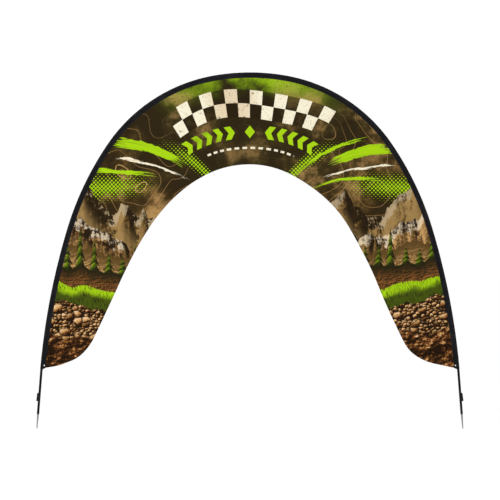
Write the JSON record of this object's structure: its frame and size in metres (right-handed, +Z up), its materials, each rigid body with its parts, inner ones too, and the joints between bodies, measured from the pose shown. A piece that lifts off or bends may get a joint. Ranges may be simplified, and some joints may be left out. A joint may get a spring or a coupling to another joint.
{
  "type": "arch flag with its flexible pole and ground spikes",
  "caption": "Outdoor arch flag: printed cloth arch with a black pole sleeve, held open by a bent pole with hook clips and steel ground spikes.",
  "frame": {"origin": "on the ground, midway between the tips of the two spikes, in the plane of the cloth", "axes": "+X across the arch, to the right as seen from the front; +Y through the cloth, away from the viewer; +Z up"},
  "size_m": [4.2724, 0.0316, 3.562],
  "materials": {
    "printed_cloth": "matt printed knitted polyester",
    "sleeve_cloth": "black woven polyester",
    "sleeve_end_cloth": "black coated polyester",
    "eyelet_metal": "satin nickel plate",
    "pole_coat": "black resin-rich fibreglass, satin gloss",
    "clip_plastic": "black moulded nylon, fine texture",
    "spike_steel": "zinc plated, dull"
  },
  "bodies": {
    "root": {"printed_panel": "printed_cloth", "pole_sleeve": "sleeve_cloth", "left_sleeve_end": "sleeve_end_cloth", "right_sleeve_end": "sleeve_end_cloth", "left_eyelet": "eyelet_metal", "right_eyelet": "eyelet_metal", "left_pole": "pole_coat", "right_pole": "pole_coat", "left_hook_clip": "clip_plastic", "right_hook_clip": "clip_plastic", "left_ground_spike": "spike_steel", "right_ground_spike": "spike_steel"}
  },
  "joints": []
}
